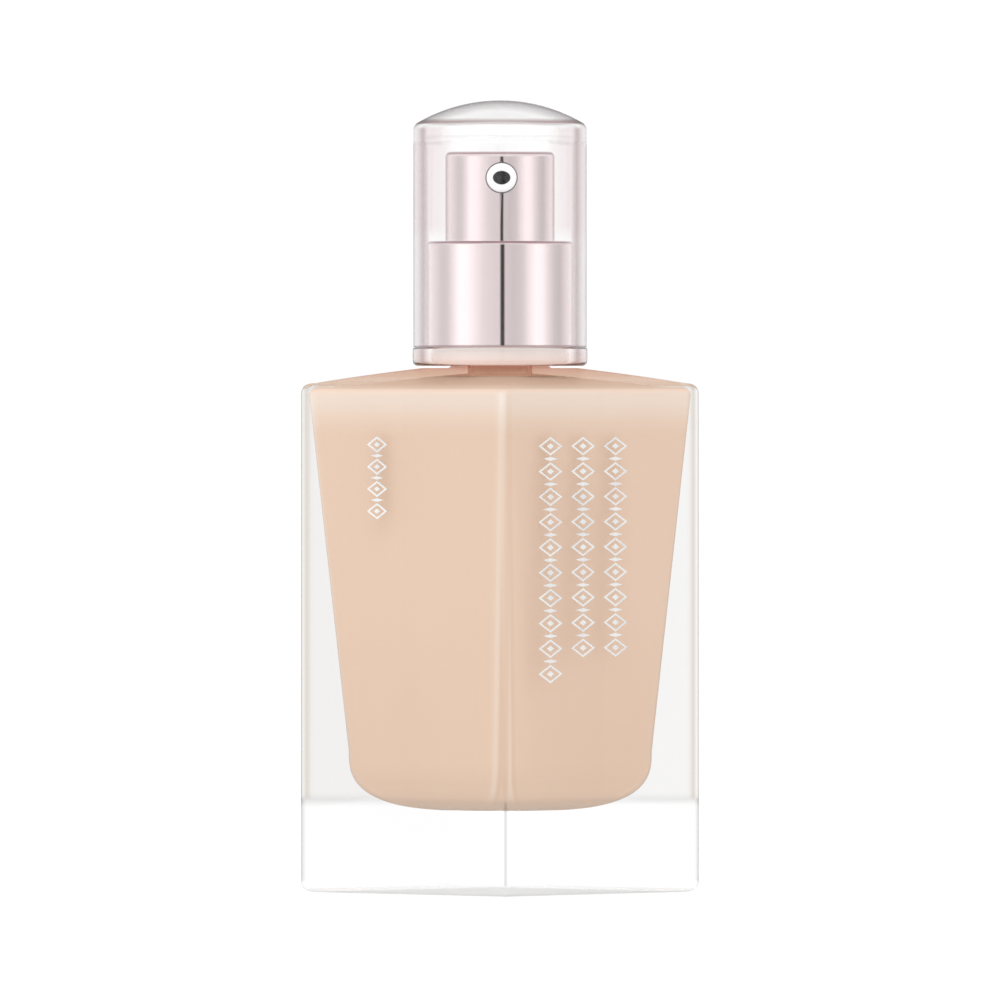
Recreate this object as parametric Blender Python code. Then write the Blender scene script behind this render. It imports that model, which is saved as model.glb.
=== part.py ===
"""Foundation bottle: a square glass bottle, its treatment pump and a clear overcap.

Dimensions are in millimetres and the meshes in metres. The origin is the centre of
the bottle's flat base, +Z is up, and the bottle's faces look along X and Y. Every
joint of the pump, the screw closure and the overcap lies on the Z axis.
"""

import math

import bmesh
import bpy
from mathutils import Matrix, Vector

MM = 0.001
GAP = 0.3  # clearance that neighbouring pieces keep

# Glass bottle
BOTTLE_HALF = 19.0
EDGE_RADIUS = 0.8
BASE_FILLET = 1.5
SHOULDER_FILLET = 1.4
SHOULDER_EDGE_Z = 67.9
SHOULDER_TOP_Z = 69.9
SHOULDER_TOP_RADIUS = 10.4
NECK_RADIUS = 6.5
NECK_TOP_Z = 77.4
NECK_BORE = 4.3

# Cavity in the glass
FLOOR_Z = 11.0
BOWL_HALF = 15.1
BOWL_CORNER = 5.0
BOWL_Z = 18.9
BOWL_SQUARENESS = 2.9  # exponent of the bowl's rounded section
CAVITY_HALF = 18.1
CAVITY_CORNER = 0.9
CAVITY_TOP_Z = 67.0
CAVITY_FILLET = 0.7
CEILING_RISE = 2.2
LIQUID_LEVEL_SHARE = 0.8  # how far up the sloping ceiling the liquid reaches

# Neck thread and closure
THREAD_PITCH = 3.0
THREAD_TURNS = 1.25
THREAD_BASE = 1.2
THREAD_TIP = 0.6
NECK_CREST = 7.4
CLOSURE_CREST = 6.95
CLOSURE_WALL = 7.95
CLOSURE_RADIUS = 8.9
CLOSURE_FOOT_Z = 70.5
CLOSURE_TOP_Z = 81.2
CLOSURE_HOLE = 5.2
NECK_THREAD_Z = 72.2
CLOSURE_THREAD_Z = NECK_THREAD_Z + THREAD_PITCH / 2

# Collar
SLEEVE_RADIUS = 9.75
SLEEVE_BORE = CLOSURE_RADIUS + GAP
SLEEVE_FOOT_Z = 72.9
SLEEVE_TOP_Z = 86.8
SLEEVE_LIP = 7.8
RING_RADIUS = 11.65
RING_FOOT_Z = 70.2
RING_FILLET = 0.7
RING_TOP_Z = 72.6

# Overcap
CAP_RADIUS = 11.55
CAP_BORE = 10.05
CAP_FOOT_Z = RING_TOP_Z + GAP
CAP_EDGE_Z = 102.3
CAP_TOP_Z = 105.6
CAP_CEILING_Z = 100.9

# Pump housing
HOUSING_RADIUS = NECK_BORE - GAP
CYLINDER_BORE = 3.3
FLANGE_RADIUS = 6.4
FLANGE_Z = 78.9
HOUSING_TOP_Z = 79.9
CYLINDER_FLOOR_Z = 52.3
CHAMBER_BORE = 1.9
SEAT_BORE = 0.9
SEAT_Z = 49.0
SOCKET_RADIUS = 2.7
SOCKET_TOP_Z = 47.9
SOCKET_FOOT_Z = 44.5
VENT_Z = 77.0
VENT_RADIUS = 0.4

# Moving pieces of the pump
BALL_RADIUS = 1.3
BALL_Z = 50.05
CAGE_Z = 52.6
CAGE_TOP_Z = 54.3
SPRING_RADIUS = 2.3
SPRING_WIRE = 0.45
SPRING_COILS = 7
SPRING_FOOT_Z = CAGE_TOP_Z + GAP
PLUG_Z = 63.5
PLUG_TOP_Z = 65.3
PLUG_RADIUS = 2.7
PISTON_TOP_Z = 72.7
PISTON_RADIUS = 3.15
STEM_RADIUS = 1.9
STEM_BORE = 1.1
STEM_TOP_Z = 90.0
STEM_PORT_Z = 66.6
STOP_Z = 73.8
STOP_RADIUS = 2.9
GUIDE_Z = 74.9
LOCK_TOP_Z = 81.5
LOCK_RADIUS = 4.9
TUBE_RADIUS = 1.5
TUBE_BORE = 1.0
TUBE_FOOT_Z = 12.6

# Actuator
SHELL_RADIUS = 7.27
SHELL_WALL = 0.4
SHELL_FOOT_Z = 86.2
SHELL_TOP_Z = 98.7
CORE_FOOT_Z = 86.5
CORE_TOP_Z = 97.9
NOZZLE_Z = 95.2
NOZZLE_AZIMUTH = math.radians(-45.0)
NOZZLE_RADIUS = 1.95
NOZZLE_BACK = 4.9
NOZZLE_FRONT = 7.7

# Facets
RING_POINTS = 8  # in each quarter of the bottle's outline
BIG_STEPS = 40
SMALL_STEPS = 24
FILLET_STEPS = 4


def clear_scene():
    for thing in list(bpy.data.objects):
        bpy.data.objects.remove(thing, do_unlink=True)


# --- materials ---------------------------------------------------------------


def finish(name, color, roughness, metallic=0.0, transmission=0.0):
    material = bpy.data.materials.new(name)
    material.use_nodes = True
    shader = material.node_tree.nodes["Principled BSDF"]
    shader.inputs["Base Color"].default_value = (*color, 1.0)
    shader.inputs["Roughness"].default_value = roughness
    shader.inputs["Metallic"].default_value = metallic
    shader.inputs["Transmission Weight"].default_value = transmission
    return material


def clear_glass():
    return finish("clear_glass", (0.95, 0.97, 0.96), 0.02, transmission=1.0)


def tinted_clear_plastic():
    return finish("tinted_clear_plastic", (0.98, 0.90, 0.91), 0.04, transmission=0.9)


def foundation_cream():
    return finish("foundation_cream", (0.78, 0.58, 0.45), 0.35)


def pink_metal():
    return finish("pink_metal", (0.85, 0.68, 0.70), 0.18, metallic=1.0)


def natural_plastic():
    return finish("natural_plastic", (0.86, 0.86, 0.84), 0.4)


def white_plastic():
    return finish("white_plastic", (0.92, 0.92, 0.91), 0.3)


def seal_plastic():
    return finish("seal_plastic", (0.80, 0.82, 0.80), 0.6)


def bright_steel():
    return finish("bright_steel", (0.70, 0.71, 0.72), 0.2, metallic=1.0)


# --- outlines ----------------------------------------------------------------


def rounded(corners, steps=FILLET_STEPS):
    """Outline through the corners. A corner's third number is its fillet radius."""
    outline = []
    for place, corner in enumerate(corners):
        here = Vector(corner[:2])
        if len(corner) == 2:
            outline.append(tuple(here))
            continue
        radius = corner[2]
        before = (Vector(corners[place - 1][:2]) - here).normalized()
        after = (Vector(corners[(place + 1) % len(corners)][:2]) - here).normalized()
        half_angle = before.angle(after) / 2
        centre = here + (before + after).normalized() * (radius / math.sin(half_angle))
        reach = radius / math.tan(half_angle)
        start = here + before * reach - centre
        end = here + after * reach - centre
        first = math.atan2(start.y, start.x)
        sweep = math.remainder(math.atan2(end.y, end.x) - first, math.tau)
        for step in range(steps + 1):
            angle = first + sweep * step / steps
            outline.append(
                (centre.x + radius * math.cos(angle), centre.y + radius * math.sin(angle))
            )
    return outline


def square_ring(half, corner, z):
    """Rounded square with its corner arcs drawn from side to side."""
    points = []
    for quarter in range(4):
        turn = Matrix.Rotation(quarter * math.pi / 2, 3, "Z")
        for step in range(RING_POINTS):
            angle = math.pi / 2 * step / (RING_POINTS - 1)
            x = half - corner + corner * math.cos(angle)
            y = half - corner + corner * math.sin(angle)
            points.append(turn @ Vector((x, y, z)))
    return points


def round_ring(radius, z):
    """Circle with as many points as a square ring."""
    count = 4 * RING_POINTS
    points = []
    for step in range(count):
        angle = math.tau * (step + 0.5) / count
        points.append(Vector((radius * math.cos(angle), radius * math.sin(angle), z)))
    return points


def between(ring_a, ring_b, share, rise):
    """Ring part of the way from one to the other, with its own share of the rise."""
    ring = []
    for a, b in zip(ring_a, ring_b):
        point = a.lerp(b, share)
        point.z = a.z + (b.z - a.z) * rise
        ring.append(point)
    return ring


# --- bodies ------------------------------------------------------------------


def add_object(name, bm, material, parent):
    """Finishes a closed mesh and links it, shaded smooth between its sharp edges."""
    bmesh.ops.scale(bm, vec=Vector((MM, MM, MM)), verts=bm.verts)
    bmesh.ops.recalc_face_normals(bm, faces=bm.faces)
    mesh = bpy.data.meshes.new(name)
    bm.to_mesh(mesh)
    bm.free()
    mesh.shade_smooth()
    mesh.set_sharp_from_angle(angle=math.radians(32))
    thing = bpy.data.objects.new(name, mesh)
    if material is not None:
        mesh.materials.append(material)
    thing.parent = parent
    bpy.context.scene.collection.objects.link(thing)
    return thing


def turned(name, profile, material, parent, steps=SMALL_STEPS):
    """Solid of revolution about Z. A profile that starts and ends on the axis is open
    there, and any other is a closed outline."""
    bm = bmesh.new()
    vertices = [bm.verts.new((radius, 0.0, z)) for radius, z in profile]
    edges = [bm.edges.new(pair) for pair in zip(vertices, vertices[1:])]
    on_axis = profile[0][0] == 0.0 and profile[-1][0] == 0.0
    if not on_axis:
        edges.append(bm.edges.new((vertices[-1], vertices[0])))
    bmesh.ops.spin(
        bm,
        geom=vertices + edges,
        axis=(0.0, 0.0, 1.0),
        cent=(0.0, 0.0, 0.0),
        angle=math.tau,
        steps=steps,
        use_merge=True,
    )
    bmesh.ops.remove_doubles(bm, verts=bm.verts, dist=0.0001)
    return add_object(name, bm, material, parent)


def skin(bm, rings):
    """Closed skin over rings of equal point count, with a face on each end."""
    loops = [[bm.verts.new(point) for point in ring] for ring in rings]
    for lower, upper in zip(loops, loops[1:]):
        for place, corner in enumerate(lower):
            beside = (place + 1) % len(lower)
            bm.faces.new((corner, lower[beside], upper[beside], upper[place]))
    bm.faces.new(loops[0])
    bm.faces.new(loops[-1])


def lofted(name, rings, material, parent):
    bm = bmesh.new()
    skin(bm, rings)
    return add_object(name, bm, material, parent)


def rod(name, radius, start, end, parent, steps=SMALL_STEPS):
    """Plain round cutter between two points."""
    start = Vector(start)
    along = Vector(end) - start
    bm = bmesh.new()
    place = Matrix.Translation(start + along / 2) @ along.to_track_quat("Z", "Y").to_matrix().to_4x4()
    bmesh.ops.create_cone(
        bm,
        cap_ends=True,
        segments=steps,
        radius1=radius,
        radius2=radius,
        depth=along.length,
        matrix=place,
    )
    return add_object(name, bm, None, parent)


def combine(thing, helper, operation):
    """Exact Boolean with a helper solid that isn't itself a piece."""
    modifier = thing.modifiers.new(helper.name, "BOOLEAN")
    modifier.operation = operation
    modifier.solver = "EXACT"
    modifier.object = helper
    helper.hide_render = True
    helper.display_type = "WIRE"


def thread_rib(name, root, crest, start_z, parent):
    """Helical rib, right-handed, that tapers into its wall at both ends."""
    steps = round(THREAD_TURNS * 24)
    taper_steps = 4
    buried = 0.25 if crest > root else -0.25
    rings = []
    for step in range(steps + 1):
        angle = math.tau * THREAD_TURNS * step / steps
        z = start_z + THREAD_PITCH * THREAD_TURNS * step / steps
        height = min(1.0, step / taper_steps, (steps - step) / taper_steps)
        tip = root + (crest - root) * max(height, 0.02)
        outline = [
            (root - buried, z - THREAD_BASE / 2),
            (root - buried, z + THREAD_BASE / 2),
            (tip, z + THREAD_TIP / 2),
            (tip, z - THREAD_TIP / 2),
        ]
        rings.append(
            [Vector((r * math.cos(angle), r * math.sin(angle), h)) for r, h in outline]
        )
    return lofted(name, rings, None, parent)


def nozzle_point(distance, z=NOZZLE_Z):
    """Point at a distance from the axis along the nozzle's direction."""
    return Vector(
        (distance * math.cos(NOZZLE_AZIMUTH), distance * math.sin(NOZZLE_AZIMUTH), z)
    )


# --- bottle and contents -----------------------------------------------------


def fillet_rings(half, corner, z, radius, upward, steps=FILLET_STEPS):
    """Rings over the rounded edge between an upright side and a level face at z."""
    rings = []
    for step in range(steps + 1):
        angle = math.pi / 2 * step / steps
        pulled_in = radius * (1.0 - math.cos(angle))
        risen = radius * (1.0 - math.sin(angle))
        level = z - risen if upward else z + risen
        rings.append(
            square_ring(half - pulled_in, max(corner - pulled_in, corner * 0.3), level)
        )
    return rings if upward else rings[::-1]


def pillow(share):
    """Rise of a slightly domed slope, as a share of its whole rise."""
    return share + 0.04 * math.sin(math.pi * share)


def shoulder_rings():
    """Pillowed shoulder from the square's top edge to the flat ring round the neck."""
    edge = fillet_rings(
        BOTTLE_HALF, EDGE_RADIUS, SHOULDER_EDGE_Z, SHOULDER_FILLET, upward=True
    )[-1]
    top = round_ring(SHOULDER_TOP_RADIUS, SHOULDER_TOP_Z)
    steps = 5
    return [
        between(edge, top, step / steps, pillow(step / steps))
        for step in range(1, steps + 1)
    ]


def bowl_rings(half, corner, floor, steps=7):
    """Rings up the rounded bowl at the cavity's foot, from its floor to its brim."""
    power = 2.0 / BOWL_SQUARENESS
    lowest = math.radians(80.0)
    rings = []
    for step in range(steps + 1):
        angle = lowest * (1.0 - step / steps)
        scale = math.cos(angle) ** power
        fall = (math.sin(angle) / math.sin(lowest)) ** power
        rings.append(
            square_ring(half * scale, corner * scale, BOWL_Z - (BOWL_Z - floor) * fall)
        )
    return rings


def cavity_rings(inset=0.0, level_share=1.0):
    """Wall of the cavity, from its floor up its tapering sides and over its ceiling."""
    rings = bowl_rings(BOWL_HALF - inset, BOWL_CORNER - inset / 2, FLOOR_Z + inset)
    side_top = fillet_rings(
        CAVITY_HALF - inset,
        CAVITY_CORNER - inset / 2,
        CAVITY_TOP_Z - inset,
        CAVITY_FILLET - inset / 2,
        upward=True,
    )
    rings += side_top
    rim = round_ring(NECK_BORE, CAVITY_TOP_Z + CEILING_RISE - inset)
    steps = 4
    for step in range(1, steps + 1):
        share = level_share * step / steps
        rings.append(between(side_top[-1], rim, share, pillow(share)))
    return rings


def make_glass_bottle(parent):
    rings = fillet_rings(BOTTLE_HALF, EDGE_RADIUS, 0.0, BASE_FILLET, upward=False)
    rings += fillet_rings(
        BOTTLE_HALF, EDGE_RADIUS, SHOULDER_EDGE_Z, SHOULDER_FILLET, upward=True
    )
    rings += shoulder_rings()
    neck = rounded(
        [
            (SHOULDER_TOP_RADIUS, SHOULDER_TOP_Z),
            (NECK_RADIUS, SHOULDER_TOP_Z, 0.5),
            (NECK_RADIUS, NECK_TOP_Z, 0.5),
            (NECK_BORE, NECK_TOP_Z, 0.3),
            (NECK_BORE, CAVITY_TOP_Z + CEILING_RISE + 1.0),
        ],
        steps=2,
    )
    rings += [round_ring(radius, z) for radius, z in neck[1:]]
    rings += cavity_rings()[::-1]
    bottle = lofted("glass_bottle", rings, clear_glass(), parent)
    rib = thread_rib("neck_thread", NECK_RADIUS, NECK_CREST, NECK_THREAD_Z, parent)
    combine(bottle, rib, "UNION")
    return bottle


def make_foundation_liquid(parent):
    """Product that fills the cavity, with a channel for the housing and the dip tube."""
    rings = cavity_rings(inset=GAP, level_share=LIQUID_LEVEL_SHARE)
    level = max(point.z for point in rings[-1])
    channel = [
        (HOUSING_RADIUS + GAP, level),
        (HOUSING_RADIUS + GAP, 51.6),
        (SOCKET_RADIUS + GAP, 49.9),
        (SOCKET_RADIUS + GAP, SOCKET_FOOT_Z - GAP),
        (TUBE_RADIUS + GAP, SOCKET_FOOT_Z - GAP),
        (TUBE_RADIUS + GAP, TUBE_FOOT_Z - GAP),
    ]
    rings += [round_ring(radius, z) for radius, z in channel]
    return lofted("foundation_liquid", rings, foundation_cream(), parent)


# --- pump body ---------------------------------------------------------------


def make_pump_housing(parent):
    profile = rounded(
        [
            (CYLINDER_BORE, HOUSING_TOP_Z),
            (FLANGE_RADIUS, HOUSING_TOP_Z),
            (FLANGE_RADIUS, FLANGE_Z),
            (HOUSING_RADIUS, FLANGE_Z),
            (HOUSING_RADIUS, CYLINDER_FLOOR_Z - 0.4),
            (SOCKET_RADIUS, CYLINDER_FLOOR_Z - 2.1),
            (SOCKET_RADIUS, SOCKET_FOOT_Z),
            (TUBE_RADIUS + GAP, SOCKET_FOOT_Z),
            (TUBE_RADIUS + GAP, SOCKET_TOP_Z),
            (SEAT_BORE, SOCKET_TOP_Z),
            (SEAT_BORE, SEAT_Z),
            (CHAMBER_BORE, SEAT_Z + CHAMBER_BORE - SEAT_BORE),
            (CHAMBER_BORE, CYLINDER_FLOOR_Z),
            (CYLINDER_BORE, CYLINDER_FLOOR_Z),
        ]
    )
    housing = turned("pump_housing", profile, natural_plastic(), parent)
    vent = rod("vent_hole", VENT_RADIUS, (0, 2, VENT_Z), (0, 6, VENT_Z), parent, steps=8)
    combine(housing, vent, "DIFFERENCE")
    return housing


def make_neck_gasket(parent):
    foot = NECK_TOP_Z + GAP
    top = FLANGE_Z - GAP
    profile = [
        (NECK_BORE + 0.2, top),
        (FLANGE_RADIUS, top),
        (FLANGE_RADIUS, foot),
        (NECK_BORE + 0.2, foot),
    ]
    return turned("neck_gasket", profile, seal_plastic(), parent, BIG_STEPS // 2)


def make_locking_ring(parent):
    """Ring on top of the housing, with the long sleeve that guides the stem."""
    bore = STEM_RADIUS + GAP
    recess = 3.3
    profile = [
        (recess, LOCK_TOP_Z),
        (LOCK_RADIUS - 0.3, LOCK_TOP_Z),
        (LOCK_RADIUS, LOCK_TOP_Z - 0.3),
        (LOCK_RADIUS, HOUSING_TOP_Z + GAP),
        (CYLINDER_BORE - GAP, HOUSING_TOP_Z + GAP),
        (CYLINDER_BORE - GAP, GUIDE_Z),
        (bore, GUIDE_Z),
        (bore, LOCK_TOP_Z - 1.2),
        (recess, LOCK_TOP_Z - 1.2),
    ]
    return turned("locking_ring", profile, white_plastic(), parent)


def make_stem_wiper(parent):
    """Soft ring in the locking ring's recess that wipes the stem."""
    foot = LOCK_TOP_Z - 0.9
    profile = [
        (STEM_RADIUS + 0.1, LOCK_TOP_Z - 0.2),
        (3.0, LOCK_TOP_Z - 0.1),
        (3.0, foot),
        (STEM_RADIUS + 0.4, foot),
    ]
    return turned("stem_wiper", profile, seal_plastic(), parent)


def make_ball_cage(parent):
    """Disc on the cylinder's floor that keeps the ball in and seats the spring."""
    outer = CYLINDER_BORE - GAP
    profile = [
        (SEAT_BORE, CAGE_TOP_Z - 0.7),
        (1.7, CAGE_TOP_Z - 0.7),
        (1.7, CAGE_TOP_Z),
        (outer, CAGE_TOP_Z),
        (outer, CAGE_Z),
        (SEAT_BORE, CAGE_Z),
    ]
    cage = turned("ball_cage", profile, white_plastic(), parent)
    slots = 3
    for slot in range(slots):
        angle = math.tau * slot / slots
        x = 1.25 * math.cos(angle)
        y = 1.25 * math.sin(angle)
        cutter = rod(
            f"cage_slot_{slot + 1}", 0.4, (x, y, CAGE_Z - 1), (x, y, CAGE_TOP_Z + 1), parent, steps=8
        )
        combine(cage, cutter, "DIFFERENCE")
    return cage


def make_dip_tube(parent):
    top = SOCKET_TOP_Z - GAP
    profile = [
        (TUBE_BORE, top),
        (TUBE_RADIUS, top),
        (TUBE_RADIUS, TUBE_FOOT_Z),
        (TUBE_BORE, TUBE_FOOT_Z),
    ]
    return turned("dip_tube", profile, natural_plastic(), parent, 16)


def make_return_spring(parent):
    """Round-wire compression spring between the ball cage and the valve plug."""
    wire = SPRING_WIRE / 2
    foot = SPRING_FOOT_Z + wire
    top = PLUG_Z - GAP - wire
    per_coil = 12
    count = SPRING_COILS * per_coil
    curve = bpy.data.curves.new("return_spring", "CURVE")
    curve.dimensions = "3D"
    curve.bevel_depth = wire * MM
    curve.bevel_resolution = 1
    curve.use_fill_caps = True
    spline = curve.splines.new("POLY")
    spline.points.add(count)
    flat = 0.75  # coils at each end that lie nearly flat
    for step, point in enumerate(spline.points):
        coil = step / per_coil
        angle = math.tau * coil
        free = min(max(coil - flat, 0.0), SPRING_COILS - 2 * flat)
        closed = min(coil, flat) + max(coil - (SPRING_COILS - flat), 0.0)
        end_rise = 1.25 * SPRING_WIRE
        rise = closed * end_rise
        rise += free * (top - foot - 2 * flat * end_rise) / (SPRING_COILS - 2 * flat)
        x = SPRING_RADIUS * math.cos(angle) * MM
        y = SPRING_RADIUS * math.sin(angle) * MM
        point.co = (x, y, (foot + rise) * MM, 1.0)
    curve.materials.append(bright_steel())
    spring = bpy.data.objects.new("return_spring", curve)
    spring.parent = parent
    bpy.context.scene.collection.objects.link(spring)
    return spring


# --- pieces that move in the pump --------------------------------------------


def make_inlet_ball(parent):
    bm = bmesh.new()
    bmesh.ops.create_uvsphere(bm, u_segments=16, v_segments=8, radius=BALL_RADIUS)
    bmesh.ops.translate(bm, vec=Vector((0.0, 0.0, BALL_Z)), verts=bm.verts)
    return add_object("inlet_ball", bm, bright_steel(), parent)


def make_stem(parent):
    """Hollow stem with a stop collar and two ports at its foot."""
    foot = PLUG_TOP_Z + GAP
    profile = [
        (STEM_BORE, STEM_TOP_Z),
        (STEM_RADIUS, STEM_TOP_Z),
        (STEM_RADIUS, STOP_Z + 0.8),
        (STOP_RADIUS, STOP_Z + 0.8),
        (STOP_RADIUS, STOP_Z),
        (STEM_RADIUS, STOP_Z),
        (STEM_RADIUS, foot),
        (STEM_BORE, foot),
    ]
    stem = turned("stem", profile, natural_plastic(), parent)
    ports = rod(
        "stem_ports", 0.45, (-3, 0, STEM_PORT_Z), (3, 0, STEM_PORT_Z), parent, steps=10
    )
    combine(stem, ports, "DIFFERENCE")
    return stem


def make_valve_plug(parent):
    """Plug in the stem's foot: the piston seals on its head and the spring pushes it."""
    shank = STEM_BORE - GAP
    profile = [
        (0.0, 69.6),
        (shank, 69.6),
        (shank, PLUG_TOP_Z),
        (PLUG_RADIUS - 0.5, PLUG_TOP_Z),
        (PLUG_RADIUS, PLUG_TOP_Z - 0.5),
        (PLUG_RADIUS, PLUG_Z),
        (1.7, PLUG_Z),
        (1.5, PLUG_Z - 1.2),
        (0.0, PLUG_Z - 1.2),
    ]
    return turned("valve_plug", profile, white_plastic(), parent)


def make_piston(parent):
    """Sleeve piston with a flared lip at each end that runs on the cylinder's wall."""
    foot = PLUG_TOP_Z + GAP
    bore = STEM_RADIUS + GAP
    body = 2.75
    profile = [
        (PISTON_RADIUS - 0.35, PISTON_TOP_Z),
        (PISTON_RADIUS, PISTON_TOP_Z),
        (PISTON_RADIUS, PISTON_TOP_Z - 0.4),
        (body, PISTON_TOP_Z - 1.9),
        (body, foot + 1.9),
        (PISTON_RADIUS, foot + 0.5),
        (PISTON_RADIUS, foot),
        (bore, foot),
        (bore, PISTON_TOP_Z - 1.4),
    ]
    return turned("piston", profile, seal_plastic(), parent)


# --- collar ------------------------------------------------------------------


def make_screw_closure(parent):
    profile = [
        (CLOSURE_HOLE, CLOSURE_TOP_Z),
        (CLOSURE_RADIUS - 0.4, CLOSURE_TOP_Z),
        (CLOSURE_RADIUS, CLOSURE_TOP_Z - 0.4),
        (CLOSURE_RADIUS, CLOSURE_FOOT_Z),
        (CLOSURE_WALL, CLOSURE_FOOT_Z),
        (CLOSURE_WALL, HOUSING_TOP_Z + GAP),
        (CLOSURE_HOLE, HOUSING_TOP_Z + GAP),
    ]
    closure = turned("screw_closure", profile, white_plastic(), parent, BIG_STEPS)
    rib = thread_rib(
        "closure_thread", CLOSURE_WALL, CLOSURE_CREST, CLOSURE_THREAD_Z, parent
    )
    combine(closure, rib, "UNION")
    return closure


def make_collar_sleeve(parent):
    """Polished sleeve over the closure, rolled in at the top round the actuator."""
    profile = rounded(
        [
            (SLEEVE_LIP, SLEEVE_TOP_Z, 0.2),
            (SLEEVE_RADIUS, SLEEVE_TOP_Z, 0.5),
            (SLEEVE_RADIUS, SLEEVE_FOOT_Z),
            (SLEEVE_BORE, SLEEVE_FOOT_Z),
            (SLEEVE_BORE, SLEEVE_TOP_Z - 0.6),
            (SLEEVE_LIP, SLEEVE_TOP_Z - 0.6),
        ],
        steps=3,
    )
    return turned("collar_sleeve", profile, pink_metal(), parent, BIG_STEPS)


def make_base_ring(parent):
    """Clear ring round the closure's foot, which the sleeve and the overcap stand on."""
    profile = rounded(
        [
            (SLEEVE_BORE, RING_TOP_Z),
            (RING_RADIUS, RING_TOP_Z, 0.25),
            (RING_RADIUS, RING_FOOT_Z, RING_FILLET),
            (SLEEVE_BORE, RING_FOOT_Z),
        ],
        steps=2,
    )
    return turned("base_ring", profile, tinted_clear_plastic(), parent, BIG_STEPS)


# --- overcap -----------------------------------------------------------------


def make_overcap(parent):
    """Clear cap: a thick tube with a flat ceiling under a domed top."""
    dome_rise = CAP_TOP_Z - CAP_EDGE_Z
    dome_radius = (CAP_RADIUS**2 + dome_rise**2) / (2 * dome_rise)
    dome_steps = 7
    outline = []
    for step in range(dome_steps):
        radius = (CAP_RADIUS - 0.35) * step / (dome_steps - 1)
        drop = dome_radius - math.sqrt(dome_radius**2 - radius**2)
        outline.append((radius, CAP_TOP_Z - drop))
    outline += rounded(
        [
            (CAP_RADIUS, CAP_EDGE_Z - 0.35),
            (CAP_RADIUS, CAP_FOOT_Z, 0.2),
            (CAP_BORE, CAP_FOOT_Z, 0.2),
            (CAP_BORE, CAP_CEILING_Z, 1.0),
            (0.0, CAP_CEILING_Z),
        ],
        steps=3,
    )
    return turned("overcap", outline, tinted_clear_plastic(), parent, BIG_STEPS)


# --- actuator ----------------------------------------------------------------


def make_actuator_shell(parent):
    """Drawn metal cup over the actuator, with a round hole for the nozzle."""
    bore = SHELL_RADIUS - SHELL_WALL
    outline = rounded(
        [
            (0.0, SHELL_TOP_Z),
            (SHELL_RADIUS, SHELL_TOP_Z, 0.7),
            (SHELL_RADIUS, SHELL_FOOT_Z),
            (bore, SHELL_FOOT_Z),
            (bore, SHELL_TOP_Z - SHELL_WALL, 0.3),
            (0.0, SHELL_TOP_Z - SHELL_WALL),
        ]
    )
    shell = turned("actuator_shell", outline, pink_metal(), parent, BIG_STEPS)
    hole = rod(
        "shell_hole", NOZZLE_RADIUS + GAP, nozzle_point(4.0), nozzle_point(9.0), parent
    )
    combine(shell, hole, "DIFFERENCE")
    return shell


def make_actuator_core(parent):
    """Moulded core: a skirt, a roof and a boss that takes the stem and the nozzle."""
    outer = SHELL_RADIUS - SHELL_WALL - GAP
    inner = outer - 0.9
    roof = CORE_TOP_Z - 1.0
    boss = 3.0
    socket = STEM_RADIUS + GAP
    socket_top = STEM_TOP_Z + GAP
    channel = 1.0
    outline = [
        (0.0, CORE_TOP_Z),
        (outer - 0.4, CORE_TOP_Z),
        (outer, CORE_TOP_Z - 0.4),
        (outer, CORE_FOOT_Z),
        (inner, CORE_FOOT_Z),
        (inner, roof - 5.3),
        (boss, roof - 5.3),
        (boss, CORE_FOOT_Z),
        (socket, CORE_FOOT_Z),
        (socket, socket_top),
        (channel, socket_top),
        (channel, NOZZLE_Z + channel),
        (0.0, NOZZLE_Z + channel),
    ]
    core = turned("actuator_core", outline, white_plastic(), parent, 32)
    pocket = rod(
        "nozzle_pocket",
        NOZZLE_RADIUS + GAP,
        nozzle_point(NOZZLE_BACK - GAP),
        nozzle_point(9.0),
        parent,
    )
    passage = rod(
        "nozzle_passage", 0.8, nozzle_point(0.0), nozzle_point(NOZZLE_BACK + 0.2), parent, steps=12
    )
    combine(core, pocket, "DIFFERENCE")
    combine(core, passage, "DIFFERENCE")
    return core


def make_nozzle_insert(parent):
    """White eyelet with an oval mouth that narrows to the orifice behind it."""
    across = Vector((-math.sin(NOZZLE_AZIMUTH), math.cos(NOZZLE_AZIMUTH), 0.0))
    upward = Vector((0.0, 0.0, 1.0))
    mouth_width = 1.1
    mouth_height = 0.88
    orifice = 0.6
    stations = [
        (NOZZLE_BACK, orifice, orifice),
        (NOZZLE_BACK, NOZZLE_RADIUS, NOZZLE_RADIUS),
        (NOZZLE_FRONT - 0.35, NOZZLE_RADIUS, NOZZLE_RADIUS),
        (NOZZLE_FRONT - 0.08, NOZZLE_RADIUS - 0.15, NOZZLE_RADIUS - 0.15),
        (NOZZLE_FRONT, NOZZLE_RADIUS - 0.4, NOZZLE_RADIUS - 0.4),
        (NOZZLE_FRONT, mouth_width + 0.1, mouth_height + 0.1),
        (NOZZLE_FRONT - 0.15, mouth_width, mouth_height),
        (NOZZLE_FRONT - 1.4, orifice, orifice),
    ]
    bm = bmesh.new()
    loops = []
    for distance, width, height in stations:
        loop = []
        for step in range(SMALL_STEPS):
            angle = math.tau * step / SMALL_STEPS
            offset = across * (width * math.cos(angle)) + upward * (height * math.sin(angle))
            loop.append(bm.verts.new(nozzle_point(distance) + offset))
        loops.append(loop)
    for loop, following in zip(loops, loops[1:] + loops[:1]):
        for place, corner in enumerate(loop):
            beside = (place + 1) % len(loop)
            bm.faces.new((corner, loop[beside], following[beside], following[place]))
    return add_object("nozzle_insert", bm, white_plastic(), parent)


# --- assembly ----------------------------------------------------------------


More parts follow.
